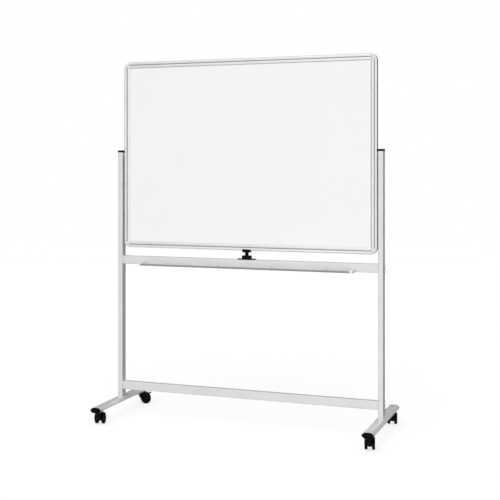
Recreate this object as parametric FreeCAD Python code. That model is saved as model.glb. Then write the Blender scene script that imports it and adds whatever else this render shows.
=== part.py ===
import FreeCAD, Part
import math
import os

# Rolling whiteboard: a double-sided board that turns over between two posts, on a stand with four casters.
# Millimetres. +Z is up, +X runs along the board to the right, -Y is the front (pen tray) side.
# The origin is on the floor, under the middle of the stand.

# ---------------------------------------------------------------- driving dimensions
BOARD_W = 1250.0
BOARD_H = 900.0
BOARD_BOTTOM = 813.5
PIVOT_Z = BOARD_BOTTOM + BOARD_H / 2

# aluminium edge profile of the board: u runs inward from the outer edge, v is half the thickness
FRAME_U = 30.0
FRAME_V = 10.0
SIDE_FLAT_V = 5.0
SLOT_U = 18.0
SLOT_V = 7.05
CHAMBER_U = (2.0, 16.0)
CHAMBER_V = 5.5
SEAM = 0.3
# round knuckle on each face of a corner cap
KNUCKLE_PLACE = 12.5
KNUCKLE_R = 10.5
KNUCKLE_FROM_V = 8.0
KNUCKLE_RISE = 3.8

CORE_V = 6.5
SHEET_T = 0.4
COAT_T = 0.1
PANEL_INSET = 18.5
PANEL_CORNER_R = FRAME_U - PANEL_INSET

TUBE_SMALL = 25.0
TUBE_LARGE = 40.0
TUBE_WALL = 2.0
POST_R = 5.0
BAR_R = 4.0
POST_GAP = 4.0
POST_TOP = 1281.0
POST_IN = BOARD_W / 2 + POST_GAP
POST_X = POST_IN + TUBE_SMALL / 2
POST_OUT = POST_IN + TUBE_SMALL

UPPER_BAR_Z = 752.0
LOWER_BAR_Z = 141.0
BAR_BOLT_OFFSET = 11.5

FOOT_LENGTH = 562.0
FOOT_CAP_T = 5.0
FOOT_BOTTOM = 60.0
FOOT_HALF_H = 12.5
FOOT_HALF_W = 29.0
FOOT_HALF_TOP = 17.0
FOOT_CROWN = 0.8
FOOT_Z = FOOT_BOTTOM + FOOT_HALF_H

TRAY_HALF = 524.0
TRAY_CAP = 13.0
TRAY_BOTTOM = 731.5
TRAY_DEPTH = 53.0
TRAY_T = 2.0
TRAY_LIP_R = 4.5
TRAY_LIP_WALL = 1.5
TRAY_STEP = 0.3
TRAY_WEB_H = 16.0

LATCH_X = 6.0

PIN_R = 4.0
RUNNING_GAP = 0.06

CASTER_Y = 238.0
CASTER_TRAIL = 18.0
WHEEL_R = 25.0
WHEEL_T = 13.0
WHEEL_S = 9.5
AXLE_R = 3.0
STEM_R = 4.0
# (name, side in X, side in Y, direction in degrees in which the wheels trail behind the stem)
CASTERS = (
    ("front_left", -1, -1, 103.5),
    ("front_right", 1, -1, 102.0),
    ("rear_left", -1, 1, 25.0),
    ("rear_right", 1, 1, 98.0),
)

X_AXIS = FreeCAD.Vector(1, 0, 0)
Y_AXIS = FreeCAD.Vector(0, 1, 0)
Z_AXIS = FreeCAD.Vector(0, 0, 1)
SIDES = (("left", -1), ("right", 1))


# ---------------------------------------------------------------- small helpers
def vec(x, y, z):
    return FreeCAD.Vector(x, y, z)


def save(name, shape):
    """Write one node."""
    shape.exportStep("parts/" + name + ".step")


def box(x0, x1, y0, y1, z0, z1):
    return Part.makeBox(x1 - x0, y1 - y0, z1 - z0, vec(x0, y0, z0))


def outline(start, steps, place):
    """Closed planar face. A step is (end,) for a line or (middle, end) for an arc, in profile units."""
    edges = []
    here = place(*start)
    for step in steps:
        end = place(*step[-1])
        if len(step) == 1:
            edges.append(Part.LineSegment(here, end).toShape())
        else:
            edges.append(Part.Arc(here, place(*step[0]), end).toShape())
        here = end
    return Part.Face(Part.Wire(edges))


def polygon(points, place):
    return outline(points[0], [(p,) for p in points[1:]] + [(points[0],)], place)


def rounded_rectangle(half_a, half_b, radius, place):
    """Face of a rectangle with rounded corners, centred on the profile's origin."""
    k = radius * (1 - math.sqrt(0.5))
    a, b = half_a, half_b
    start = (a - radius, -b)
    steps = [
        ((a - k, -b + k), (a, -b + radius)),
        ((a, b - radius),),
        ((a - k, b - k), (a - radius, b)),
        ((-a + radius, b),),
        ((-a + k, b - k), (-a, b - radius)),
        ((-a, -b + radius),),
        ((-a + k, -b + k), (-a + radius, -b)),
        (start,),
    ]
    return outline(start, steps, place)


def rod(radius, start, end):
    """Round rod between two points."""
    return Part.makeCylinder(radius, (end - start).Length, start, end - start)


def hexagon_prism(across_flats, base, direction, height):
    """Hexagonal head along X or Z."""
    r = across_flats / math.sqrt(3)
    points = [(r * math.cos(math.radians(60 * i)), r * math.sin(math.radians(60 * i))) for i in range(6)]
    if abs(direction.x) > 0.5:
        face = polygon(points, lambda a, b: base + vec(0, a, b))
    else:
        face = polygon(points, lambda a, b: base + vec(a, b, 0))
    return face.extrude(direction * height)


def round_cap(radius, rise, base, direction):
    """Cap of a ball, standing on a circle."""
    ball_r = (radius * radius + rise * rise) / (2 * rise)
    ball = Part.makeSphere(ball_r, base + direction * (rise - ball_r))
    return ball.common(Part.makeCylinder(radius, rise, base, direction))


def dome_head(radius, height, base, direction):
    """Button head: a flat cylinder closed by a spherical cap."""
    rim = height * 0.35
    rise = height - rim
    ball_r = (radius * radius + rise * rise) / (2 * rise)
    ball = Part.makeSphere(ball_r, base + direction * (height - ball_r))
    return ball.common(Part.makeCylinder(radius, height, base, direction))


def edges_along(shape, axis):
    """Straight edges of a shape that run along an axis."""
    found = []
    for edge in shape.Edges:
        if len(edge.Vertexes) == 2 and isinstance(edge.Curve, Part.Line):
            if abs(edge.Curve.Direction.dot(axis)) > 0.999:
                found.append(edge)
    return found


def mirrored(shape, normal):
    return shape.mirror(vec(0, 0, 0), normal)


def joined(shapes):
    return shapes[0].fuse(shapes[1:]).removeSplitter()


# ---------------------------------------------------------------- board: edge profile, caps and panel
def frame_half(place, chamber):
    """Half (v >= 0) of the edge profile: two rounded ridges, a groove between them and the panel slot."""
    steps = [
        ((0, SIDE_FLAT_V),),
        ((1.9, 8.6), (6.5, FRAME_V)),
        ((10.0, 9.8), (12.9, 8.8)),
        ((13.4, 6.9),),
        ((16.1, 6.9),),
        ((16.6, 8.8),),
        ((20.8, 9.85), (25.5, 9.3)),
        ((28.3, 8.5), (FRAME_U, 7.3)),
        ((FRAME_U, SLOT_V),),
        ((SLOT_U, SLOT_V),),
        ((SLOT_U, 0),),
    ]
    if chamber:
        near, far = CHAMBER_U
        steps += [((far, 0),), ((far, CHAMBER_V),), ((near, CHAMBER_V),), ((near, 0),)]
    steps.append(((0, 0),))
    return outline((0, 0), steps, place)


def both_faces(half):
    """Join a half (v >= 0) with its mirror image behind the board's middle plane."""
    return joined([half, mirrored(half, Y_AXIS)])


def frame_rail(edge_z, inward):
    """Top or bottom profile of the board. edge_z is its outer edge, inward is +1 or -1 in Z."""
    x0 = -BOARD_W / 2 + FRAME_U + SEAM
    face = frame_half(lambda u, v: vec(x0, v, edge_z + inward * u), True)
    return both_faces(face.extrude(vec(-2 * x0, 0, 0)))


def frame_stile(side):
    """Left or right profile of the board, with the hole for its pivot bushing."""
    z0 = BOARD_BOTTOM + FRAME_U + SEAM
    z1 = BOARD_BOTTOM + BOARD_H - FRAME_U - SEAM
    edge_x = side * BOARD_W / 2
    face = frame_half(lambda u, v: vec(edge_x - side * u, v, z0), True)
    stile = both_faces(face.extrude(vec(0, 0, z1 - z0)))
    hole_r = BUSHING_R + 0.05
    return stile.cut(rod(hole_r, vec(edge_x + side, 0, PIVOT_Z), vec(edge_x - side * 5, 0, PIVOT_Z)))


def corner_cap(side_x, side_z):
    """Moulded corner: the edge profile turned a quarter circle about the inner corner, with two tongues."""
    cx = side_x * (BOARD_W / 2 - FRAME_U)
    cz = PIVOT_Z + side_z * (BOARD_H / 2 - FRAME_U)
    edge_z = cz + side_z * FRAME_U
    half = frame_half(lambda u, v: vec(cx, v, edge_z - side_z * u), False)
    quarter = half.revolve(vec(cx, 0, cz), Y_AXIS, 90 * side_x * side_z)
    cap = both_faces(quarter)
    near, far = CHAMBER_U[0] + 0.3, CHAMBER_U[1] - 0.3
    v = CHAMBER_V - 0.3
    length = 24.0
    low = sorted((edge_z - side_z * near, edge_z - side_z * far))
    run = sorted((cx, cx - side_x * length))
    rail_tongue = box(run[0], run[1], -v, v, low[0], low[1])
    edge_x = cx + side_x * FRAME_U
    low = sorted((edge_x - side_x * near, edge_x - side_x * far))
    run = sorted((cz, cz - side_z * length))
    stile_tongue = box(low[0], low[1], -v, v, run[0], run[1])
    knuckles = []
    for face_side in (-1, 1):
        base = vec(cx + side_x * KNUCKLE_PLACE, face_side * KNUCKLE_FROM_V, cz + side_z * KNUCKLE_PLACE)
        knuckles.append(round_cap(KNUCKLE_R, KNUCKLE_RISE, base, Y_AXIS * face_side))
    return joined([cap, rail_tongue, stile_tongue] + knuckles)


def panel_layer(y0, y1):
    """One layer of the panel, with the corners rounded to fit inside the corner caps."""
    half_w = BOARD_W / 2 - PANEL_INSET
    half_h = BOARD_H / 2 - PANEL_INSET
    face = rounded_rectangle(half_w, half_h, PANEL_CORNER_R, lambda a, b: vec(a, y0, PIVOT_Z + b))
    return face.extrude(vec(0, y1 - y0, 0))


def writing_sheet(face_side):
    """Steel sheet whose white coat stops just short of the frame's lips."""
    steel_y = face_side * (CORE_V + SHEET_T)
    steel = panel_layer(face_side * CORE_V, steel_y)
    half_w = BOARD_W / 2 - FRAME_U - SEAM
    half_h = BOARD_H / 2 - FRAME_U - SEAM
    coat_y = sorted((steel_y, steel_y + face_side * COAT_T))
    coat = box(-half_w, half_w, coat_y[0], coat_y[1], PIVOT_Z - half_h, PIVOT_Z + half_h)
    return joined([steel, coat])


BUSHING_R = 5.4
BUSHING_FLANGE_T = 1.2


def pivot_bushing(side):
    """Flanged bushing that turns on the pivot pin."""
    face_x = side * BOARD_W / 2
    body = rod(BUSHING_R, vec(face_x, 0, PIVOT_Z), vec(face_x - side * 15.5, 0, PIVOT_Z))
    flange = rod(7.0, vec(face_x, 0, PIVOT_Z), vec(face_x + side * BUSHING_FLANGE_T, 0, PIVOT_Z))
    bore = rod(PIN_R + RUNNING_GAP, vec(face_x + side * 3, 0, PIVOT_Z), vec(face_x - side * 20, 0, PIVOT_Z))
    return joined([body, flange]).cut(bore)


def build_board():
    save("frame_top", frame_rail(BOARD_BOTTOM + BOARD_H, -1))
    save("frame_bottom", frame_rail(BOARD_BOTTOM, 1))
    bushings = []
    for name, side in SIDES:
        save("frame_" + name, frame_stile(side))
        bushings.append(pivot_bushing(side))
        for level, side_z in (("top", 1), ("bottom", -1)):
            save("corner_cap_" + level + "_" + name, corner_cap(side, side_z))
    save("pivot_bushings", Part.makeCompound(bushings))
    save("board_core", panel_layer(-CORE_V, CORE_V))
    save("front_sheet", writing_sheet(-1))
    save("back_sheet", writing_sheet(1))


# ---------------------------------------------------------------- posts, pivots and bars
PLUG_GAP = 0.2
PLUG_HALF_SMALL = TUBE_SMALL / 2 - TUBE_WALL - PLUG_GAP
PLUG_HALF_LARGE = TUBE_LARGE / 2 - TUBE_WALL - PLUG_GAP
PIVOT_BLOCK_Z = (1243.0, 1276.5)
PIN_HEAD_AF = 13.0
PIN_HEAD_H = 5.5
BOLT_R = 3.0
BOLT_HOLE_R = 3.2
WASHER_T = 1.5
WASHER_R = 10.0
BAR_HEAD_R = 6.5
BAR_HEAD_H = 6.0
CAP_SKIN = 1.0
CAP_OVERLAP = 5.0
CAP_RISE = 4.5
CAP_ROUND = 3.0
BAR_NUT_LENGTH = 40.0


def post_tube(side, z0):
    """Plain tube of a post, standing at z0."""
    centre = side * POST_X
    outer = rounded_rectangle(TUBE_SMALL / 2, TUBE_LARGE / 2, POST_R, lambda a, b: vec(centre + a, b, z0))
    inner = rounded_rectangle(
        TUBE_SMALL / 2 - TUBE_WALL,
        TUBE_LARGE / 2 - TUBE_WALL,
        POST_R - TUBE_WALL,
        lambda a, b: vec(centre + a, b, z0),
    )
    height = vec(0, 0, POST_TOP - z0)
    return outer.extrude(height).cut(inner.extrude(height))


def bar_bolt_places():
    """Height of every bolt that holds a bar to a post."""
    return [z + sign * BAR_BOLT_OFFSET for z in (UPPER_BAR_Z, LOWER_BAR_Z) for sign in (-1, 1)]


def post(side):
    """Post: its foot end follows the crowned top of the foot; bolt and pin holes are drilled through."""
    tube = post_tube(side, FOOT_Z)
    tube = tube.cut(foot_outer(side))
    for z in bar_bolt_places():
        tube = tube.cut(rod(BOLT_HOLE_R, vec(side * (POST_IN - 1), 0, z), vec(side * (POST_OUT + 1), 0, z)))
    inner_wall = vec(side * (POST_IN + TUBE_WALL + 1), 0, PIVOT_Z)
    return tube.cut(rod(PIN_R + 0.1, vec(side * (POST_IN - 1), 0, PIVOT_Z), inner_wall))


def post_cap(side):
    """Cap that slips over the end of the post, with a hollow skirt that plugs into the tube."""
    centre = side * POST_X
    rim_z = POST_TOP - CAP_OVERLAP

    def tube_shape(gap):
        """Outline of the tube, grown by gap, where the cap starts."""
        return rounded_rectangle(
            TUBE_SMALL / 2 + gap, TUBE_LARGE / 2 + gap, POST_R + gap, lambda a, b: vec(centre + a, b, rim_z)
        )

    dome = tube_shape(CAP_SKIN).extrude(vec(0, 0, CAP_OVERLAP + CAP_RISE))
    rim = [e for e in dome.Edges if e.BoundBox.ZMin > POST_TOP + CAP_RISE - 0.1]
    dome = dome.makeFillet(CAP_ROUND, rim)
    dome = dome.cut(tube_shape(RUNNING_GAP).extrude(vec(0, 0, CAP_OVERLAP)))
    skirt_z = PIVOT_BLOCK_Z[1] + 0.5
    plug = rounded_rectangle(PLUG_HALF_SMALL, PLUG_HALF_LARGE, 2.6, lambda a, b: vec(centre + a, b, skirt_z))
    hollow = rounded_rectangle(
        PLUG_HALF_SMALL - 2, PLUG_HALF_LARGE - 2, 1.5, lambda a, b: vec(centre + a, b, skirt_z - 1)
    )
    height = vec(0, 0, POST_TOP - skirt_z)
    skirt = plug.extrude(height).cut(hollow.extrude(height))
    return joined([dome, skirt])


def pivot_block(side):
    """Steel block in the top of the post, with a pocket for the head of the pivot pin."""
    centre = side * POST_X
    z0, z1 = PIVOT_BLOCK_Z
    face = rounded_rectangle(PLUG_HALF_SMALL, PLUG_HALF_LARGE, 2.6, lambda a, b: vec(centre + a, b, z0))
    block = face.extrude(vec(0, 0, z1 - z0))
    inner_x = side * (POST_IN + TUBE_WALL - 1)
    outer_x = side * (POST_OUT - TUBE_WALL)
    block = block.cut(rod(PIN_R, vec(inner_x, 0, PIVOT_Z), vec(outer_x, 0, PIVOT_Z)))
    pocket = hexagon_prism(PIN_HEAD_AF + 0.2, vec(pin_head_x(side), 0, PIVOT_Z), X_AXIS * side, 10)
    return block.cut(pocket)


def pin_head_x(side):
    return side * (POST_OUT - TUBE_WALL - PLUG_GAP - PIN_HEAD_H - 0.5)


def pivot_pin(side):
    """Shouldered pin: hexagon head in the pivot block, plain end in the board's bushing."""
    head_x = pin_head_x(side)
    shank = rod(PIN_R, vec(side * (BOARD_W / 2 - 15.0), 0, PIVOT_Z), vec(head_x, 0, PIVOT_Z))
    tip_edges = [e for e in shank.Edges if abs(e.BoundBox.Center.x) < BOARD_W / 2 - 14 and len(e.Vertexes) == 1]
    shank = shank.makeChamfer(0.8, tip_edges)
    head = hexagon_prism(PIN_HEAD_AF, vec(head_x, 0, PIVOT_Z), X_AXIS * side, PIN_HEAD_H)
    return joined([shank, head])


def pivot_spacer(side):
    """Bright washer on the pin, between the post and the board."""
    near = side * (POST_IN - 2.3)
    far = side * POST_IN
    ring = rod(6.5, vec(near, 0, PIVOT_Z), vec(far, 0, PIVOT_Z))
    return ring.cut(rod(PIN_R, vec(near, 0, PIVOT_Z), vec(far, 0, PIVOT_Z)))


def bar(centre_z):
    """Cross bar between the posts, a rounded rectangular tube lying along X."""
    outer = rounded_rectangle(
        TUBE_SMALL / 2, TUBE_LARGE / 2, BAR_R, lambda a, b: vec(-POST_IN, a, centre_z + b)
    )
    inner = rounded_rectangle(
        TUBE_SMALL / 2 - TUBE_WALL,
        TUBE_LARGE / 2 - TUBE_WALL,
        BAR_R - TUBE_WALL,
        lambda a, b: vec(-POST_IN, a, centre_z + b),
    )
    length = vec(2 * POST_IN, 0, 0)
    return outer.extrude(length).cut(inner.extrude(length))


def bar_nut_block(side, centre_z):
    """Nut block inside the end of a bar; two bolts through the post screw into it."""
    end = side * (POST_IN - 0.3)
    face = rounded_rectangle(
        PLUG_HALF_SMALL, PLUG_HALF_LARGE, 1.8, lambda a, b: vec(end, a, centre_z + b)
    )
    block = face.extrude(vec(-side * BAR_NUT_LENGTH, 0, 0))
    for sign in (-1, 1):
        z = centre_z + sign * BAR_BOLT_OFFSET
        block = block.cut(rod(BOLT_R, vec(end, 0, z), vec(side * (POST_IN - 36), 0, z)))
    return block


def bar_bolt(side, z):
    """Button-head bolt with a socket, through the post into the nut block."""
    seat = side * (POST_OUT + WASHER_T)
    head = dome_head(BAR_HEAD_R, BAR_HEAD_H, vec(seat, 0, z), X_AXIS * side)
    socket = hexagon_prism(4.0, vec(seat + side * (BAR_HEAD_H - 2.4), 0, z), X_AXIS * side, 4)
    shank = rod(BOLT_R, vec(seat, 0, z), vec(side * (POST_IN - 35.5), 0, z))
    return joined([head, shank]).cut(socket)


def bolt_washer(side, z):
    start = vec(side * POST_OUT, 0, z)
    end = vec(side * (POST_OUT + WASHER_T), 0, z)
    return rod(WASHER_R, start, end).cut(rod(BOLT_R, start, end))


def build_posts_and_bars():
    blocks = []
    spacers = []
    nuts = []
    bolts = []
    washers = []
    for name, side in SIDES:
        save(name + "_post", post(side))
        save(name + "_post_cap", post_cap(side))
        save(name + "_pivot_pin", pivot_pin(side))
        blocks.append(pivot_block(side))
        spacers.append(pivot_spacer(side))
        for z in (UPPER_BAR_Z, LOWER_BAR_Z):
            nuts.append(bar_nut_block(side, z))
        for z in bar_bolt_places():
            bolts.append(bar_bolt(side, z))
            washers.append(bolt_washer(side, z))
    save("pivot_blocks", Part.makeCompound(blocks))
    save("pivot_spacers", Part.makeCompound(spacers))
    save("bar_nut_blocks", Part.makeCompound(nuts))
    save("bar_bolts", Part.makeCompound(bolts))
    save("bar_bolt_washers", Part.makeCompound(washers))
    save("lower_bar", bar(LOWER_BAR_Z))
    upper = bar(UPPER_BAR_Z)
    for cutter in latch_bar_cutters() + [tray_screw_hole(x) for x in TRAY_SCREW_X]:
        upper = upper.cut(cutter)
    save("upper_bar", upper)


# ---------------------------------------------------------------- feet
FOOT_WALL = 2.0
FOOT_BOLT_Y = 10.0
FOOT_BOLT_R = 3.0
BASE_PLUG_TOP = 122.0
FOOT_TUBE_HALF = FOOT_LENGTH / 2 - FOOT_CAP_T


def foot_section(half_top, half_w, half_h, place):
    """Flat six-sided section with a slightly crowned top."""
    steps = [
        ((0, half_h), (half_top, half_h - FOOT_CROWN)),
        ((half_w, 0),),
        ((half_top, -half_h),),
        ((-half_top, -half_h),),
        ((-half_w, 0),),
        ((-half_top, half_h - FOOT_CROWN),),
    ]
    return outline((-half_top, half_h - FOOT_CROWN), steps, place)


def foot_prism(side, shrink, y0, y1, radius):
    """Prism of the foot's section; shrink moves every wall inward."""
    face = foot_section(
        FOOT_HALF_TOP - shrink * 0.42,
        FOOT_HALF_W - shrink * 1.4,
        FOOT_HALF_H - shrink,
        lambda a, b: vec(side * POST_X + a, y0, FOOT_Z + b),
    )
    solid = face.extrude(vec(0, y1 - y0, 0))
    return solid.makeFillet(radius, edges_along(solid, Y_AXIS))


def foot_outer(side):
    return foot_prism(side, 0.0, -FOOT_TUBE_HALF, FOOT_TUBE_HALF, 5.0)


def foot(side):
    """Foot tube with chamfered ends, and holes for the post bolts and the caster stems."""
    outer = foot_outer(side)
    ends = [e for e in outer.Edges if abs(abs(e.BoundBox.Center.y) - FOOT_TUBE_HALF) < 0.01]
    outer = outer.makeChamfer(0.8, ends)
    tube = outer.cut(foot_prism(side, FOOT_WALL, -FOOT_LENGTH, FOOT_LENGTH, 3.0))
    x = side * POST_X
    for y in (-FOOT_BOLT_Y, FOOT_BOLT_Y):
        tube = tube.cut(rod(BOLT_HOLE_R, vec(x, y, FOOT_BOTTOM - 1), vec(x, y, FOOT_BOTTOM + 30)))
    for y in (-CASTER_Y, CASTER_Y):
        tube = tube.cut(rod(STEM_R + 0.15, vec(x, y, FOOT_BOTTOM - 1), vec(x, y, FOOT_Z)))
    return tube


def foot_cap(side, side_y):
    """End cap: a rounded plate over the tube's end and a hollow skirt inside it."""
    inner_y = side_y * FOOT_TUBE_HALF
    outer_y = side_y * FOOT_LENGTH / 2
    plate = foot_prism(side, 0.0, inner_y, outer_y, 5.0)
    rim = [e for e in plate.Edges if abs(e.BoundBox.Center.y - outer_y) < 0.01]
    plate = plate.makeFillet(2.0, rim)
    skirt_y = side_y * (FOOT_TUBE_HALF - 12)
    skirt = foot_prism(side, FOOT_WALL + PLUG_GAP, skirt_y, inner_y, 2.5)
    skirt = skirt.cut(foot_prism(side, FOOT_WALL + 2.2, skirt_y - side_y, inner_y, 1.5))
    return joined([plate, skirt])


def base_plug(side):
    """Block in the foot of the post that the foot bolts screw into."""
    centre = side * POST_X
    face = rounded_rectangle(
        PLUG_HALF_SMALL, PLUG_HALF_LARGE, 2.6, lambda a, b: vec(centre + a, b, FOOT_Z + FOOT_HALF_H + 0.3)
    )
    plug = face.extrude(vec(0, 0, BASE_PLUG_TOP - FOOT_Z - FOOT_HALF_H - 0.3))
    for y in (-FOOT_BOLT_Y, FOOT_BOLT_Y):
        plug = plug.cut(rod(FOOT_BOLT_R, vec(centre, y, FOOT_Z), vec(centre, y, BASE_PLUG_TOP - 6)))
    return plug


def foot_bolt(side, y):
    """Bolt from below, through the foot into the base plug."""
    x = side * POST_X
    head = dome_head(6.0, 3.6, vec(x, y, FOOT_BOTTOM), Z_AXIS * -1)
    socket = hexagon_prism(4.0, vec(x, y, FOOT_BOTTOM - 1.8), Z_AXIS * -1, 4)
    shank = rod(FOOT_BOLT_R, vec(x, y, FOOT_BOTTOM), vec(x, y, BASE_PLUG_TOP - 6.5))
    return joined([head, shank]).cut(socket)


def build_feet():
    plugs = []
    bolts = []
    for name, side in SIDES:
        save(name + "_foot", foot(side))
        for end, side_y in (("front", -1), ("rear", 1)):
            save("foot_cap_" + end + "_" + name, foot_cap(side, side_y))
        plugs.append(base_plug(side))
        for y in (-FOOT_BOLT_Y, FOOT_BOLT_Y):
            bolts.append(foot_bolt(side, y))
    save("post_base_plugs", Part.makeCompound(plugs))
    save("foot_bolts", Part.makeCompound(bolts))


# ---------------------------------------------------------------- pen tray
TRAY_SCREW_X = (-390.0, -130.0, 130.0, 390.0)
TRAY_SCREW_Z = TRAY_BOTTOM + 11.0
TRAY_BACK_Y = -TUBE_SMALL / 2
TRAY_LIP_Y = TRAY_BACK_Y - TRAY_DEPTH + TRAY_LIP_R
TRAY_TOP = TRAY_BOTTOM + 2 * TRAY_LIP_R


def tray_outline(x):
    """Section of the tray: back web, floor and a round hollow lip."""
    mid = TRAY_BOTTOM + TRAY_LIP_R
    web_y = TRAY_BACK_Y - TRAY_T
    steps = [
        ((TRAY_BACK_Y, TRAY_BOTTOM + TRAY_WEB_H),),
        ((web_y, TRAY_BOTTOM + TRAY_WEB_H),),
        ((web_y, TRAY_BOTTOM + TRAY_T),),
        ((TRAY_LIP_Y + TRAY_LIP_WALL, TRAY_BOTTOM + TRAY_T),),
        ((TRAY_LIP_Y + TRAY_LIP_WALL, TRAY_TOP),),
        ((TRAY_LIP_Y, TRAY_TOP),),
        ((TRAY_LIP_Y - TRAY_LIP_R, mid), (TRAY_LIP_Y, TRAY_BOTTOM)),
        ((TRAY_BACK_Y, TRAY_BOTTOM),),
    ]
    return outline((TRAY_BACK_Y, TRAY_BOTTOM), steps, lambda y, z: vec(x, y, z))


def lip_hollow(x):
    """The half-round space inside the lip."""
    mid = TRAY_BOTTOM + TRAY_LIP_R
    r = TRAY_LIP_R - 1.8
    y = TRAY_LIP_Y - 0.3
    return outline((y, mid - r), [((y, mid + r),), ((y - r, mid), (y, mid - r))], lambda a, b: vec(x, a, b))


def tray_screw_hole(x):
    return rod(1.75, vec(x, TRAY_BACK_Y - 5, TRAY_SCREW_Z), vec(x, TRAY_BACK_Y + TUBE_WALL + 1, TRAY_SCREW_Z))


def tray_screw(x):
    """Countersunk screw through the tray's back web into the bar."""
    head_y = TRAY_BACK_Y - TRAY_T
    head = Part.makeCone(3.5, 1.75, TRAY_T, vec(x, head_y, TRAY_SCREW_Z), Y_AXIS)
    shank = rod(1.75, vec(x, TRAY_BACK_Y, TRAY_SCREW_Z), vec(x, TRAY_BACK_Y + 9, TRAY_SCREW_Z))
    slot = box(x - 2.4, x + 2.4, head_y - 1, head_y + 0.8, TRAY_SCREW_Z - 0.4, TRAY_SCREW_Z + 0.4)
    cross = box(x - 0.4, x + 0.4, head_y - 1, head_y + 0.8, TRAY_SCREW_Z - 2.4, TRAY_SCREW_Z + 2.4)
    return joined([head, shank]).cut(joined([slot, cross]))


def pen_tray():
    """Extrusion with a trough; a shallow step at each end of its floor seats the end cap."""
    half = TRAY_HALF - 3.0
    tray = tray_outline(-half).extrude(vec(2 * half, 0, 0))
    tray = tray.cut(lip_hollow(-half - 1).extrude(vec(2 * half + 2, 0, 0)))
    floor_z = TRAY_BOTTOM + TRAY_T
    for side in (-1, 1):
        ends = sorted((side * (TRAY_HALF - TRAY_CAP), side * TRAY_HALF))
        step = box(
            ends[0], ends[1], TRAY_LIP_Y + TRAY_LIP_WALL, TRAY_BACK_Y - TRAY_T, floor_z - TRAY_STEP, floor_z
        )
        tray = tray.cut(step)
    for x in TRAY_SCREW_X:
        tray = tray.cut(rod(1.75, vec(x, TRAY_BACK_Y - 3, TRAY_SCREW_Z), vec(x, TRAY_BACK_Y + 1, TRAY_SCREW_Z)))
        sink = Part.makeCone(3.5, 1.75, TRAY_T, vec(x, TRAY_BACK_Y - TRAY_T, TRAY_SCREW_Z), Y_AXIS)
        tray = tray.cut(sink)
    return tray


def tray_end_cap(side, tray):
    """Moulded end that closes the trough and slips over the end of the extrusion."""
    mid = TRAY_BOTTOM + TRAY_LIP_R
    skin = 1.0
    r = TRAY_LIP_R + skin
    low = TRAY_BOTTOM - skin
    web_top = TRAY_BOTTOM + TRAY_WEB_H + skin
    steps = [
        ((TRAY_BACK_Y, web_top),),
        ((TRAY_BACK_Y - 5, web_top),),
        ((TRAY_LIP_Y, mid + r),),
        ((TRAY_LIP_Y - r, mid), (TRAY_LIP_Y, low)),
        ((TRAY_BACK_Y, low),),
    ]
    x0 = side * (TRAY_HALF - TRAY_CAP)
    face = outline((TRAY_BACK_Y, low), steps, lambda y, z: vec(x0, y, z))
    cap = face.extrude(vec(side * TRAY_CAP, 0, 0))
    end = [e for e in cap.Edges if abs(e.BoundBox.Center.x - side * TRAY_HALF) < 0.01]
    cap = cap.makeFillet(0.8, end)
    return cap.cut(tray)


def build_tray():
    tray = pen_tray()
    save("pen_tray", tray)
    for name, side in SIDES:
        save("tray_end_cap_" + name, tray_end_cap(side, tray))
    save("tray_screws", Part.makeCompound([tray_screw(x) for x in TRAY_SCREW_X]))


# ---------------------------------------------------------------- board latch
BAR_TOP = UPPER_BAR_Z + TUBE_LARGE / 2
LATCH_FLANGE_T = 3.5
LATCH_BODY_TOP = BAR_TOP + 18.5
LATCH_POCKET_FLOOR = LATCH_BODY_TOP - 12.5
LATCH_TUBE_BOTTOM = BAR_TOP - 30.0
LATCH_TUBE_FLOOR = 3.0
SPRING_WIRE = 1.0
SPRING_R = 4.2
SPRING_TURNS = 7
LATCH_SCREW_OFFSET = 34.0
LATCH_HALF_DEPTH = 13.5
LATCH_NECK_HALF = 7.5
LATCH_NECK_DEPTH = 6.0
LATCH_ROD_R = 5.0
LATCH_NECK_BOTTOM = LATCH_BODY_TOP - 2.0
LATCH_ROD_BOTTOM = BAR_TOP - 2.0
FORK_BOTTOM = BOARD_BOTTOM - 7.5
FORK_TOP = BOARD_BOTTOM + 6.5
FORK_FLOOR = BOARD_BOTTOM - 0.8
FORK_HALF = 19.0
FORK_SLOT = FRAME_V + 0.4


def rounded_block(x0, x1, y0, y1, z0, z1, radius):
    """Block with its four vertical edges rounded."""
    block = box(x0, x1, y0, y1, z0, z1)
    return block.makeFillet(radius, edges_along(block, Z_AXIS))


def latch_bar_cutters():
    """Holes in the top of the upper bar for the latch's guide tube and screws."""
    cutters = [rod(8.2, vec(LATCH_X, 0, BAR_TOP - 5), vec(LATCH_X, 0, BAR_TOP + 1))]
    for sign in (-1, 1):
        x = LATCH_X + sign * LATCH_SCREW_OFFSET
        cutters.append(rod(1.75, vec(x, 0, BAR_TOP - 5), vec(x, 0, BAR_TOP + 1)))
    return cutters


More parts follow.
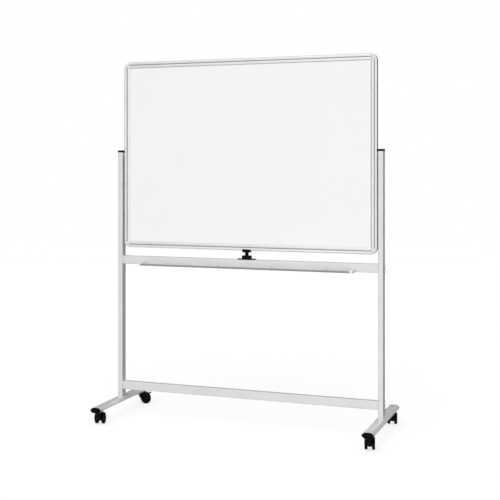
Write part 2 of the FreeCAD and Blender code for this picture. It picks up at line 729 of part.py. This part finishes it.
def latch_base():
    """Moulded base: flange, body with a pocket, and a guide tube that reaches down into the bar."""
    half_depth = TUBE_SMALL / 2
    flange_top = BAR_TOP + LATCH_FLANGE_T
    flange = rounded_block(LATCH_X - 44, LATCH_X + 44, -half_depth, half_depth, BAR_TOP, flange_top, 6.0)
    body = rounded_block(
        LATCH_X - 21, LATCH_X + 21, -LATCH_HALF_DEPTH, LATCH_HALF_DEPTH, BAR_TOP, LATCH_BODY_TOP, 2.5
    )
    rim = [e for e in body.Edges if e.BoundBox.ZMin > LATCH_BODY_TOP - 0.1]
    body = body.makeFillet(1.2, rim)
    tube = rod(8.0, vec(LATCH_X, 0, LATCH_TUBE_BOTTOM), vec(LATCH_X, 0, BAR_TOP + 1))
    pocket = box(
        LATCH_X - LATCH_NECK_HALF - 0.3,
        LATCH_X + LATCH_NECK_HALF + 0.3,
        -LATCH_NECK_DEPTH - 0.3,
        LATCH_NECK_DEPTH + 0.3,
        LATCH_POCKET_FLOOR,
        LATCH_BODY_TOP + 1,
    )
    bore_r = LATCH_ROD_R + RUNNING_GAP
    bore = rod(bore_r, vec(LATCH_X, 0, LATCH_TUBE_BOTTOM + LATCH_TUBE_FLOOR), vec(LATCH_X, 0, LATCH_BODY_TOP))
    base = joined([flange, body, tube]).cut(pocket).cut(bore)
    for sign in (-1, 1):
        x = LATCH_X + sign * LATCH_SCREW_OFFSET
        base = base.cut(rod(1.75, vec(x, 0, BAR_TOP - 1), vec(x, 0, flange_top + 1)))
        base = base.cut(Part.makeCone(1.75, 3.6, 2.0, vec(x, 0, flange_top - 2.0), Z_AXIS))
    return base


def latch_screw(x):
    flange_top = BAR_TOP + LATCH_FLANGE_T
    head = Part.makeCone(1.75, 3.6, 2.0, vec(x, 0, flange_top - 2.0), Z_AXIS)
    shank = rod(1.75, vec(x, 0, BAR_TOP - 8), vec(x, 0, flange_top - 2.0))
    slot = box(x - 2.4, x + 2.4, -0.4, 0.4, flange_top - 0.8, flange_top + 1)
    cross = box(x - 0.4, x + 0.4, -2.4, 2.4, flange_top - 0.8, flange_top + 1)
    return joined([head, shank]).cut(joined([slot, cross]))


def latch_plunger():
    """Plunger: a fork that straddles the board's lower edge, a neck, and a rod in the guide tube."""
    head = rounded_block(
        LATCH_X - FORK_HALF, LATCH_X + FORK_HALF, -LATCH_HALF_DEPTH, LATCH_HALF_DEPTH, FORK_BOTTOM, FORK_TOP, 2.0
    )
    rim = [e for e in head.Edges if e.BoundBox.ZMax - e.BoundBox.ZMin < 0.1]
    head = head.makeFillet(1.2, rim)
    slot = box(LATCH_X - 30, LATCH_X + 30, -FORK_SLOT, FORK_SLOT, FORK_FLOOR, FORK_TOP + 1)
    head = head.cut(slot)
    neck = box(
        LATCH_X - LATCH_NECK_HALF,
        LATCH_X + LATCH_NECK_HALF,
        -LATCH_NECK_DEPTH,
        LATCH_NECK_DEPTH,
        LATCH_NECK_BOTTOM,
        FORK_BOTTOM + 1.5,
    )
    neck = neck.makeFillet(1.5, edges_along(neck, Z_AXIS))
    stem = rod(LATCH_ROD_R, vec(LATCH_X, 0, LATCH_ROD_BOTTOM), vec(LATCH_X, 0, LATCH_NECK_BOTTOM + 1))
    return joined([head, neck, stem])


def latch_spring():
    """Compression spring of square wire under the plunger's rod."""
    half = SPRING_WIRE / 2
    low = LATCH_TUBE_BOTTOM + LATCH_TUBE_FLOOR + half + 0.05
    height = LATCH_ROD_BOTTOM - low - half - 0.05
    helix = Part.makeHelix(height / SPRING_TURNS, height, SPRING_R)
    corners = [(-half, -half), (half, -half), (half, half), (-half, half), (-half, -half)]
    section = Part.makePolygon([vec(SPRING_R + a, 0, b) for a, b in corners])
    coil = Part.Wire(helix.Edges).makePipeShell([section], True, True)
    coil.translate(vec(LATCH_X, 0, low))
    return coil


def build_latch():
    save("latch_base", latch_base())
    screws = [latch_screw(LATCH_X + sign * LATCH_SCREW_OFFSET) for sign in (-1, 1)]
    save("latch_screws", Part.makeCompound(screws))
    save("latch_plunger", latch_plunger())
    save("latch_spring", latch_spring())


# ---------------------------------------------------------------- casters
# Built with the stem on the Z axis and the wheels trailing towards +X, then turned and moved into place.
AXLE_Z = WHEEL_R
HOUSING_TOP = FOOT_BOTTOM - 1.0
HOUSING_BOTTOM = 17.0
WEB_HALF = 8.7
WHEEL_CLEAR_R = WHEEL_R + 1.0
FENDER_R = WHEEL_R + 3.2
FENDER_HALF = WHEEL_S + WHEEL_T
FENDER_FROM = 66.0
FENDER_TO = 185.0
BRAKE_PIN_R = 1.75
BRAKE_HALF = 6.2
BRAKE_PEDAL_HALF = 8.5
BRAKE_PIVOT = (28.3, 37.3)


def disc(radius, s0, s1):
    """Disc round the axle, between two distances along the axle."""
    return rod(radius, vec(CASTER_TRAIL, s0, AXLE_Z), vec(CASTER_TRAIL, s1, AXLE_Z))


def sector(radius, half, start_deg, end_deg):
    """Wedge of a disc round the axle; angles from the trailing direction, upward."""
    cylinder = Part.makeCylinder(radius, 2 * half, vec(0, 0, 0), Z_AXIS, end_deg - start_deg)
    cylinder.rotate(vec(0, 0, 0), Z_AXIS, start_deg)
    cylinder.rotate(vec(0, 0, 0), X_AXIS, 90)
    cylinder.translate(vec(CASTER_TRAIL, half, AXLE_Z))
    return cylinder


def swivel_boss():
    """Round boss about the stem, with rounded lower and upper edges."""
    steps = [
        ((13.5, 28.5),),
        ((16.9, 30.0), (18, 33.5)),
        ((18, 51),),
        ((16.7, 54.4), (13, 56)),
        ((13, HOUSING_TOP),),
        ((0, HOUSING_TOP),),
        ((0, 28.5),),
    ]
    return outline((0, 28.5), steps, lambda r, z: vec(r, 0, z)).revolve(vec(0, 0, 0), Z_AXIS, 360)


def wheel_envelopes():
    """Space that the two wheels need."""
    outer = FENDER_HALF + 1
    return [disc(WHEEL_CLEAR_R, WHEEL_S - 0.5, outer), disc(WHEEL_CLEAR_R, -outer, -WHEEL_S + 0.5)]


def caster_housing():
    """Hood over the wheels, web between them and swivel boss, with a slot for the brake lever."""
    web = disc(22.0, -WEB_HALF, WEB_HALF)
    hood = sector(FENDER_R, FENDER_HALF, FENDER_FROM, FENDER_TO)
    shell = joined([web, hood, swivel_boss()])
    for envelope in wheel_envelopes():
        shell = shell.cut(envelope)
    shell = shell.cut(box(-40, 60, -30, 30, -5, HOUSING_BOTTOM))
    shell = shell.cut(rod(STEM_R + RUNNING_GAP, vec(0, 0, 34), vec(0, 0, HOUSING_TOP + 1)))
    shell = shell.cut(disc(AXLE_R + RUNNING_GAP, -30, 30))
    slot_half = BRAKE_HALF + 0.4
    shell = shell.cut(box(23.8, 60, -slot_half, slot_half, 32.6, 60))
    return shell.cut(brake_pin(BRAKE_PIN_R + RUNNING_GAP, WEB_HALF + 1))


def brake_pin(radius, half):
    t, z = BRAKE_PIVOT
    return rod(radius, vec(t, -half, z), vec(t, half, z))


def brake_lever():
    """Pedal lever on two trunnions; the pedal hooks outward over the wheels."""
    t, z = BRAKE_PIVOT

    def side_view(half):
        return lambda a, b: vec(a, -half, b)

    boss = rod(4.0, vec(t, -BRAKE_HALF, z), vec(t, BRAKE_HALF, z))
    arm_points = [(25.2, 39.8), (32.2, 49.4), (37.0, 47.6), (31.4, 35.0)]
    arm = polygon(arm_points, side_view(BRAKE_HALF)).extrude(vec(0, 2 * BRAKE_HALF, 0))
    pedal_steps = [
        ((33.6, 52.6),),
        ((38.8, 54.6), (44.4, 52.4)),
        ((43.9, 49.4),),
        ((39.6, 50.9), (36.6, 47.4)),
        ((31.8, 48.8),),
    ]
    pedal = outline((31.8, 48.8), pedal_steps, side_view(BRAKE_PEDAL_HALF))
    pedal = pedal.extrude(vec(0, 2 * BRAKE_PEDAL_HALF, 0))
    return joined([boss, arm, pedal, brake_pin(BRAKE_PIN_R, WEB_HALF - 0.1)])


def wheel(sign):
    """Thin wheel with a rounded tread, a dished outer face and a hollow inner side."""
    steps = [
        ((7.0, 0),),
        ((7.0, 6.0),),
        ((20.5, 6.0),),
        ((20.5, 0.6),),
        ((21.1, 0),),
        ((22.6, 0),),
        ((24.3, 0.7), (WHEEL_R, 2.4)),
        ((WHEEL_R, 9.4),),
        ((24.2, 11.9), (21.4, WHEEL_T)),
        ((19.6, WHEEL_T),),
        ((18.6, 11.9),),
        ((13.5, 11.2), (8.6, 11.4)),
        ((8.0, 12.4),),
        ((4.5, 12.85), (1.0, WHEEL_T)),
        ((0, WHEEL_T),),
        ((0, 11.5),),
        ((AXLE_R, 11.5),),
        ((AXLE_R, 0),),
    ]
    face = outline(
        (AXLE_R, 0), steps, lambda r, s: vec(CASTER_TRAIL + r, sign * (WHEEL_S + s), AXLE_Z)
    )
    return face.revolve(vec(CASTER_TRAIL, 0, AXLE_Z), Y_AXIS, 360)


def stem():
    """Steel stem with a collar that carries the foot; it stays with the foot while the caster turns."""
    top = FOOT_BOTTOM + 2 * FOOT_HALF_H - 5.0
    pin = rod(STEM_R, vec(0, 0, 35), vec(0, 0, top))
    collar = rod(7.0, vec(0, 0, FOOT_BOTTOM - 0.7), vec(0, 0, FOOT_BOTTOM))
    return joined([pin, collar])


def stem_socket():
    """Plastic block inside the foot that grips the stem."""
    low = FOOT_BOTTOM + FOOT_WALL
    high = FOOT_BOTTOM + 2 * FOOT_HALF_H - FOOT_WALL - FOOT_CROWN - 0.2
    block = rounded_block(-14, 14, -15, 15, low, high, 4.0)
    return block.cut(rod(STEM_R, vec(0, 0, low - 1), vec(0, 0, high - 1.5)))


def place_caster(shape, side_x, side_y, angle):
    """Turn a caster's piece to its direction and move it under the foot."""
    placed = shape.copy()
    placed.rotate(vec(0, 0, 0), Z_AXIS, angle)
    placed.translate(vec(side_x * POST_X, side_y * CASTER_Y, 0))
    return placed


def build_casters():
    housing = caster_housing()
    axle = disc(AXLE_R, -WHEEL_S - 11.4, WHEEL_S + 11.4)
    wheels = Part.makeCompound([wheel(-1), wheel(1)])
    lever = brake_lever()
    stems = []
    sockets = []
    for name, side_x, side_y, angle in CASTERS:
        save("caster_housing_" + name, place_caster(housing, side_x, side_y, angle))
        save("caster_axle_" + name, place_caster(axle, side_x, side_y, angle))
        save("caster_wheels_" + name, place_caster(wheels, side_x, side_y, angle))
        save("brake_lever_" + name, place_caster(lever, side_x, side_y, angle))
        stems.append(place_caster(stem(), side_x, side_y, 0))
        sockets.append(place_caster(stem_socket(), side_x, side_y, 0))
    save("caster_stems", Part.makeCompound(stems))
    save("caster_sockets", Part.makeCompound(sockets))


os.makedirs("parts", exist_ok=True)
build_board()
build_posts_and_bars()
build_feet()
build_tray()
build_latch()
build_casters()
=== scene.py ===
import bpy
import math
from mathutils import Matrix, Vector


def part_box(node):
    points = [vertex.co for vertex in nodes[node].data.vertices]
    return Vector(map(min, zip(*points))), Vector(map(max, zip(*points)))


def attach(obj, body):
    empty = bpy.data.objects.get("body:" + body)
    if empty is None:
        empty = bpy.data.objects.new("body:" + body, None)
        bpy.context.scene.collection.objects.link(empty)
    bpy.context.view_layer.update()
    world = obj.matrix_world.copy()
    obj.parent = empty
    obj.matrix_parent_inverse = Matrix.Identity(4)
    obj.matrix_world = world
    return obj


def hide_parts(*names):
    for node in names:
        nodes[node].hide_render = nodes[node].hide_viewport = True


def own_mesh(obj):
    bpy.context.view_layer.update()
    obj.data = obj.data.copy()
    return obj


# Rolling whiteboard: materials, a round-wire latch spring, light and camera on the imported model.
# Metres in the model's frame: +Z up, +X along the board, -Y the front.

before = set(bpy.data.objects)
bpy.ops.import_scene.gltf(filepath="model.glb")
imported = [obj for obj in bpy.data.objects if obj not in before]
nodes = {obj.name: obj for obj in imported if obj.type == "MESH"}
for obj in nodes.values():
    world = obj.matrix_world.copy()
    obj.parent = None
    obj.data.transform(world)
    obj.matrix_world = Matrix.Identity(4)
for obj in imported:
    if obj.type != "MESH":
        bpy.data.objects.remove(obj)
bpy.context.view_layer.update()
scene = bpy.context.scene

EVEN = (1, 1, 1)
WHITE = (1.0, 1.0, 1.0)


# ---------------------------------------------------------------- material helpers
# the part of a noise's range that most of its values fall in
NOISE_SPAN = (0.3, 0.7)
CLOUD_DETAIL = 4.0
GRAIN_DETAIL = 2.0
# distance from the board's middle plane over which the painted shade in the frame's recess fades
# out
PAINTED_RECESS_SPAN = (0.0070, 0.0086)
# how squarely a surface faces the front or back, over which the painted shade on the
# sideways-facing rims fades out, and how dark that painted shade is
PAINTED_RIM_SPAN = (0.15, 0.40)
PAINTED_RIM_SHADE = 0.15
# depth over which the painted shade along the front of the tray's lip ends
PAINTED_LIP_SPAN = (-0.0616, -0.0608)


def new_material(name):
    material = bpy.data.materials.new(name)
    material.use_nodes = True
    tree = material.node_tree
    return material, tree, tree.nodes["Principled BSDF"]


def coordinates(tree, scale):
    """Object coordinates, which are metres in the model's frame, stretched by scale."""
    source = tree.nodes.new("ShaderNodeTexCoord")
    mapping = tree.nodes.new("ShaderNodeMapping")
    mapping.inputs["Scale"].default_value = scale
    tree.links.new(source.outputs["Object"], mapping.inputs["Vector"])
    return mapping.outputs["Vector"]


def noise(tree, scale, stretch, detail):
    node = tree.nodes.new("ShaderNodeTexNoise")
    node.inputs["Scale"].default_value = scale
    node.inputs["Detail"].default_value = detail
    tree.links.new(coordinates(tree, stretch), node.inputs["Vector"])
    return node.outputs["Fac"]


def to_range(tree, value, low, high, span=NOISE_SPAN, curve="LINEAR"):
    """Value mapped from span to low..high, and held at the ends."""
    node = tree.nodes.new("ShaderNodeMapRange")
    node.interpolation_type = curve
    node.inputs["From Min"].default_value = span[0]
    node.inputs["From Max"].default_value = span[1]
    node.inputs["To Min"].default_value = low
    node.inputs["To Max"].default_value = high
    tree.links.new(value, node.inputs["Value"])
    return node.outputs["Result"]


def tinted(tree, value, dark, light):
    """Colour that runs from dark to light with value."""
    ramp = tree.nodes.new("ShaderNodeValToRGB")
    for element, place, colour in zip(ramp.color_ramp.elements, NOISE_SPAN, (dark, light)):
        element.position = place
        element.color = (*colour, 1)
    tree.links.new(value, ramp.inputs["Fac"])
    return ramp.outputs["Color"]


def add_bump(tree, shader, height, distance):
    node = tree.nodes.new("ShaderNodeBump")
    node.inputs["Distance"].default_value = distance
    tree.links.new(height, node.inputs["Height"])
    tree.links.new(node.outputs["Normal"], shader.inputs["Normal"])


def y_part(tree, vector):
    split = tree.nodes.new("ShaderNodeSeparateXYZ")
    tree.links.new(vector, split.inputs["Vector"])
    return split.outputs["Y"]


def absolute(tree, value):
    node = tree.nodes.new("ShaderNodeMath")
    node.operation = "ABSOLUTE"
    tree.links.new(value, node.inputs[0])
    return node.outputs["Value"]


def scaled(tree, vector, factor):
    """Vector, a socket or a constant, times the factor socket."""
    node = tree.nodes.new("ShaderNodeVectorMath")
    node.operation = "SCALE"
    if isinstance(vector, tuple):
        node.inputs[0].default_value = vector
    else:
        tree.links.new(vector, node.inputs[0])
    tree.links.new(factor, node.inputs["Scale"])
    return node.outputs["Vector"]


def darkened(tree, colour, value, shade, span):
    """Colour times shade where value is below span, and unchanged above it."""
    return scaled(tree, colour, to_range(tree, value, shade, 1.0, span))


def surface(name, dark, light, rough, metallic, clouds, grain, bump=0.00002, stretch=EVEN,
            specular=0.5, specular_tint=WHITE, coat=0.0, coat_rough=0.05, recess_painted_shade=None, lip_painted_shade=None):
    """Material with slight cloudiness in colour, uneven gloss and a fine grain.

    rough is a (low, high) pair. clouds and grain are repeats per metre, and stretch draws the
    grain out. The recess and lip arguments set painted shade: how dark the colour is painted in
    the board frame's recess and on its sideways-facing rims, and along the front of the tray's lip.
    """
    material, tree, shader = new_material(name)
    colour = tinted(tree, noise(tree, clouds, EVEN, CLOUD_DETAIL), dark, light)
    if recess_painted_shade is not None:
        # painted shade: the colour is darker near the board's middle plane, in the frame's groove
        # and on its side faces
        depth = y_part(tree, coordinates(tree, EVEN))
        colour = darkened(tree, colour, absolute(tree, depth), recess_painted_shade, PAINTED_RECESS_SPAN)
        # painted shade: faces that point sideways, such as the board's outer rim, are painted
        # darker
        facing = y_part(tree, tree.nodes.new("ShaderNodeTexCoord").outputs["Normal"])
        colour = darkened(tree, colour, absolute(tree, facing), PAINTED_RIM_SHADE, PAINTED_RIM_SPAN)
    if lip_painted_shade is not None:
        # painted shade: a dark strip painted along the front of the tray's lip
        depth = y_part(tree, coordinates(tree, EVEN))
        colour = darkened(tree, colour, depth, lip_painted_shade, PAINTED_LIP_SPAN)
    tree.links.new(colour, shader.inputs["Base Color"])
    fine = noise(tree, grain, stretch, GRAIN_DETAIL)
    tree.links.new(to_range(tree, fine, *rough), shader.inputs["Roughness"])
    add_bump(tree, shader, fine, bump)
    shader.inputs["Metallic"].default_value = metallic
    shader.inputs["Specular IOR Level"].default_value = specular
    shader.inputs["Specular Tint"].default_value = (*specular_tint, 1)
    shader.inputs["Coat Weight"].default_value = coat
    shader.inputs["Coat Roughness"].default_value = coat_rough
    return material


# ---------------------------------------------------------------- looks
BLUE_SHEEN = (0.72, 0.86, 1.0)
# stretches that draw a grain out along one axis
ALONG_X = (0.02, 1, 1)
ALONG_Y = (1, 0.02, 1)
ALONG_Z = (1, 1, 0.02)
# edges sharper than this stay sharp under smooth shading
SHARP_ANGLE = math.radians(32)

# name, darkest colour, lightest colour, roughness, metallic, clouds, grain
looks = {
    "writing": surface(
        "white_enamel", (0.905, 0.908, 0.908), (0.92, 0.92, 0.92), (0.16, 0.24), 0.0, 3.0, 260.0,
        bump=0.00001, coat=0.4, coat_rough=0.06),
    # the frame and the corner caps carry painted shade in their recess and on their sideways-facing
    # rims
    "frame_x": surface(
        "anodised_level", (0.76, 0.76, 0.79), (0.81, 0.81, 0.84), (0.34, 0.44), 0.8, 9.0, 2600.0,
        stretch=ALONG_X, recess_painted_shade=0.4),
    "frame_z": surface(
        "anodised_upright", (0.76, 0.76, 0.79), (0.81, 0.81, 0.84), (0.34, 0.44), 0.8, 9.0, 2600.0,
        stretch=ALONG_Z, recess_painted_shade=0.4),
    # the tray carries a painted shade strip along the front of its lip
    "tray": surface(
        "anodised_tray", (0.74, 0.75, 0.76), (0.79, 0.795, 0.805), (0.32, 0.44), 0.2, 9.0, 2600.0,
        stretch=ALONG_X, lip_painted_shade=0.35),
    "paint": surface(
        "silver_paint", (0.705, 0.71, 0.715), (0.745, 0.75, 0.755), (0.30, 0.40), 0.25, 5.0, 1800.0,
        bump=0.00003, specular=0.3),
    "foot": surface(
        "satin_foot", (0.84, 0.84, 0.86), (0.90, 0.90, 0.915), (0.22, 0.32), 0.2, 7.0, 2400.0,
        stretch=ALONG_Y),
    # painted shade in the corner caps' recess and on their sideways-facing rims
    "corner": surface(
        "corner_plastic", (0.76, 0.70, 0.70), (0.81, 0.75, 0.75), (0.36, 0.48), 0.0, 6.0, 1500.0,
        bump=0.00004, recess_painted_shade=0.55),
    "tray_end": surface(
        "tray_end_plastic", (0.86, 0.86, 0.87), (0.90, 0.90, 0.91), (0.34, 0.46), 0.0, 6.0, 1500.0,
        bump=0.00004),
    "black": surface(
        "black_plastic", (0.0015, 0.0015, 0.0015), (0.004, 0.004, 0.004), (0.20, 0.30),
        0.0, 40.0, 1400.0, bump=0.00004, specular=0.06, specular_tint=BLUE_SHEEN),
    "caster": surface(
        "caster_nylon", (0.0015, 0.0015, 0.0015), (0.004, 0.004, 0.004), (0.18, 0.28),
        0.0, 40.0, 1200.0, bump=0.00004, specular=0.06, specular_tint=BLUE_SHEEN),
    "wheel": surface(
        "wheel_nylon", (0.0025, 0.0025, 0.0025), (0.006, 0.006, 0.006), (0.32, 0.50),
        0.0, 60.0, 900.0, bump=0.00006, specular=0.05, specular_tint=BLUE_SHEEN),
    "zinc": surface(
        "bolt_zinc", (0.90, 0.90, 0.90), (0.95, 0.95, 0.95), (0.22, 0.34), 0.2, 60.0, 2000.0),
    "oxide": surface(
        "black_oxide", (0.020, 0.020, 0.021), (0.045, 0.045, 0.046), (0.34, 0.48),
        0.8, 80.0, 2500.0),
    "steel": surface(
        "zinc_steel", (0.52, 0.53, 0.55), (0.64, 0.64, 0.65), (0.24, 0.38), 1.0, 50.0, 2500.0),
    "core": surface(
        "paper_core", (0.46, 0.36, 0.24), (0.60, 0.49, 0.34), (0.75, 0.90), 0.0, 30.0, 160.0,
        bump=0.0002, specular=0.2),
    "nylon": surface(
        "natural_nylon", (0.70, 0.73, 0.75), (0.78, 0.80, 0.82), (0.34, 0.46), 0.0, 60.0, 1500.0),
}

# each look, and how the names of its pieces start
STARTS = {
    "writing": ("front_sheet", "back_sheet"),
    "core": ("board_core",),
    "frame_x": ("frame_top", "frame_bottom"),
    "frame_z": ("frame_left", "frame_right"),
    "corner": ("corner_cap",),
    "nylon": ("pivot_bushings",),
    "paint": ("left_post", "right_post", "upper_bar", "lower_bar"),
    "foot": ("left_foot", "right_foot"),
    "tray": ("pen_tray",),
    "tray_end": ("tray_end_cap",),
    "zinc": ("bar_bolts",),
    "oxide": ("foot_bolts",),
    "black": ("left_post_cap", "right_post_cap", "foot_cap", "bar_bolt_washers", "latch_base",
              "latch_plunger", "caster_sockets"),
    "caster": ("caster_housing", "brake_lever"),
    "wheel": ("caster_wheels",),
    "steel": ("bar_nut_blocks", "post_base_plugs", "pivot_blocks", "left_pivot_pin",
              "right_pivot_pin", "pivot_spacers", "caster_stems", "caster_axle", "latch_spring",
              "latch_screws", "tray_screws"),
}


def look_of(name):
    """The look with the longest start that fits: left_post_cap is not a left_post."""
    fits = [(len(start), look) for look, starts in STARTS.items() for start in starts
            if name.startswith(start)]
    return looks[max(fits)[1]]


for name, node in nodes.items():
    node.data.materials.clear()
    node.data.materials.append(look_of(name))
    node.data.set_sharp_from_angle(angle=SHARP_ANGLE)


# ---------------------------------------------------------------- spring under the latch
SPRING_WIRE = 0.001
SPRING_TURNS = 7
SPRING_STEPS = 32
WIRE_SIDES = 10


def coil_spring(node):
    """Round-wire spring in the place of the plain one, wound up from its lower end and carried by
    the stand.
    """
    low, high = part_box(node)
    wire_r = SPRING_WIRE / 2
    coil_r = (high.x - low.x) / 2 - wire_r
    middle = (low + high) / 2
    length = high.z - low.z
    rise = length - SPRING_WIRE
    count = SPRING_TURNS * SPRING_STEPS
    verts = []
    for i in range(count + 1):
        turn = math.tau * i / SPRING_STEPS
        outward = Vector((math.cos(turn), math.sin(turn), 0))
        centre = Vector((middle.x, middle.y, low.z + wire_r + rise * i / count)) + outward * coil_r
        for k in range(WIRE_SIDES):
            around = math.tau * k / WIRE_SIDES
            spoke = outward * math.cos(around) + Vector((0, 0, math.sin(around)))
            verts.append(centre + spoke * wire_r)
    start_cap = tuple(reversed(range(WIRE_SIDES)))
    end_cap = tuple(range(count * WIRE_SIDES, (count + 1) * WIRE_SIDES))
    faces = [start_cap, end_cap]
    for i in range(count):
        for k in range(WIRE_SIDES):
            a, b = i * WIRE_SIDES + k, i * WIRE_SIDES + (k + 1) % WIRE_SIDES
            faces.append((a, b, b + WIRE_SIDES, a + WIRE_SIDES))
    mesh = bpy.data.meshes.new("spring_coil")
    mesh.from_pydata(verts, [], faces)
    mesh.polygons.foreach_set("use_smooth", [len(face) == 4 for face in faces])
    mesh.materials.append(looks["steel"])
    coil = bpy.data.objects.new("spring_coil", mesh)
    scene.collection.objects.link(coil)
    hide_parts(node)
    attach(coil, "stand")
    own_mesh(coil)


coil_spring("latch_spring")


# ---------------------------------------------------------------- floor, light and camera
FLOOR_RADIUS = 14.0
FLOOR_SIDES = 96
FLOOR_GREY = (0.96, 0.96, 0.96)
FLOOR_ROUGH = 0.7
FLOOR_SPECULAR = 0.1
FLOOR_GLOW = 0.31
FLOOR_ALPHA = 0.45
# how far in from its rim the floor starts to show and shows most, as shares of the radius
FLOOR_FADE = (0.05, 0.6)

# direction, the cosines where the glow starts and is full, its strength at each, and its colour
GLOWS = (
    # from the front, from above and from below the front
    ((0.30, -0.92, 0.20), (0.42, 0.95), 0.0, 1.09, (1.0, 1.0, 0.995)),
    ((0.0, -0.2, 1.0), (0.35, 0.95), 0.08, 0.78, WHITE),
    ((-0.1, -0.7, -0.7), (0.35, 0.95), 0.02, 0.44, WHITE),
    # a faint blue from behind, a strong white from low behind on the left, and the left side
    ((0.1, 1.0, 0.0), (0.82, 0.98), 0.0, 0.20, (0.74, 0.88, 1.0)),
    ((-0.60, 0.60, -0.53), (0.75, 0.97), 0.0, 3.8, WHITE),
    ((-1.0, -0.1, 0.1), (0.60, 0.95), 0.0, 0.35, WHITE),
)
SUN_FROM = (-0.1, -0.45, 1)
SUN_POWER = 0.3
SUN_WIDTH = math.radians(50)

# the camera is level, which keeps the posts parallel, and shifted to frame the whole stand
CAMERA_PLACE = (1.618, -4.628, 1.211)
CAMERA_TURN = (math.radians(90), 0, math.radians(20.7))
CAMERA_SENSOR = 36.0
CAMERA_LENS = 75.43
CAMERA_SHIFT = (0.061, -0.1688)


def make_floor():
    """Pale round floor that fades out into the white surroundings."""
    mesh = bpy.data.meshes.new("studio_floor")
    turns = [math.tau * i / FLOOR_SIDES for i in range(FLOOR_SIDES)]
    ring = [(FLOOR_RADIUS * math.cos(turn), FLOOR_RADIUS * math.sin(turn), 0) for turn in turns]
    mesh.from_pydata(ring, [], [tuple(range(FLOOR_SIDES))])
    floor = bpy.data.objects.new("studio_floor", mesh)
    scene.collection.objects.link(floor)
    material, tree, shader = new_material("pale_floor")
    shader.inputs["Base Color"].default_value = (*FLOOR_GREY, 1)
    shader.inputs["Roughness"].default_value = FLOOR_ROUGH
    shader.inputs["Specular IOR Level"].default_value = FLOOR_SPECULAR
    shader.inputs["Emission Color"].default_value = (*WHITE, 1)
    shader.inputs["Emission Strength"].default_value = FLOOR_GLOW
    gradient = tree.nodes.new("ShaderNodeTexGradient")
    gradient.gradient_type = "SPHERICAL"
    step = 1 / FLOOR_RADIUS
    tree.links.new(coordinates(tree, (step, step, step)), gradient.inputs["Vector"])
    alpha = to_range(tree, gradient.outputs["Fac"], 0, FLOOR_ALPHA, FLOOR_FADE)
    tree.links.new(alpha, shader.inputs["Alpha"])
    mesh.materials.append(material)
    floor.visible_diffuse = False
    floor.visible_glossy = False


def make_world():
    """White surroundings for the camera, and the sum of the glows for the light."""
    world = bpy.data.worlds.new("studio")
    scene.world = world
    world.use_nodes = True
    tree = world.node_tree
    source = tree.nodes.new("ShaderNodeTexCoord")
    total = None
    for aim, span, low, high, colour in GLOWS:
        dot = tree.nodes.new("ShaderNodeVectorMath")
        dot.operation = "DOT_PRODUCT"
        dot.inputs[1].default_value = Vector(aim).normalized()
        tree.links.new(source.outputs["Generated"], dot.inputs[0])
        amount = to_range(tree, dot.outputs["Value"], low, high, span, "SMOOTHSTEP")
        lobe = scaled(tree, colour, amount)
        if total is None:
            total = lobe
        else:
            add = tree.nodes.new("ShaderNodeVectorMath")
            tree.links.new(total, add.inputs[0])
            tree.links.new(lobe, add.inputs[1])
            total = add.outputs["Vector"]
    glow = tree.nodes["Background"]
    tree.links.new(total, glow.inputs["Color"])
    seen = tree.nodes.new("ShaderNodeBackground")
    seen.inputs["Color"].default_value = (*WHITE, 1)
    path = tree.nodes.new("ShaderNodeLightPath")
    mix = tree.nodes.new("ShaderNodeMixShader")
    tree.links.new(path.outputs["Is Camera Ray"], mix.inputs["Fac"])
    tree.links.new(glow.outputs["Background"], mix.inputs[1])
    tree.links.new(seen.outputs["Background"], mix.inputs[2])
    tree.links.new(mix.outputs["Shader"], tree.nodes["World Output"].inputs["Surface"])


def make_sun():
    data = bpy.data.lights.new("soft_top", "SUN")
    data.energy = SUN_POWER
    data.angle = SUN_WIDTH
    sun = bpy.data.objects.new("soft_top", data)
    scene.collection.objects.link(sun)
    sun.rotation_euler = Vector(SUN_FROM).to_track_quat("Z", "Y").to_euler()


def make_camera():
    data = bpy.data.cameras.new("camera")
    data.sensor_width = CAMERA_SENSOR
    data.lens = CAMERA_LENS
    data.shift_x, data.shift_y = CAMERA_SHIFT
    camera = bpy.data.objects.new("camera", data)
    scene.collection.objects.link(camera)
    camera.location = CAMERA_PLACE
    camera.rotation_euler = CAMERA_TURN
    scene.camera = camera


make_floor()
make_world()
make_sun()
make_camera()
scene.view_settings.view_transform = "Standard"
scene.view_settings.look = "None"
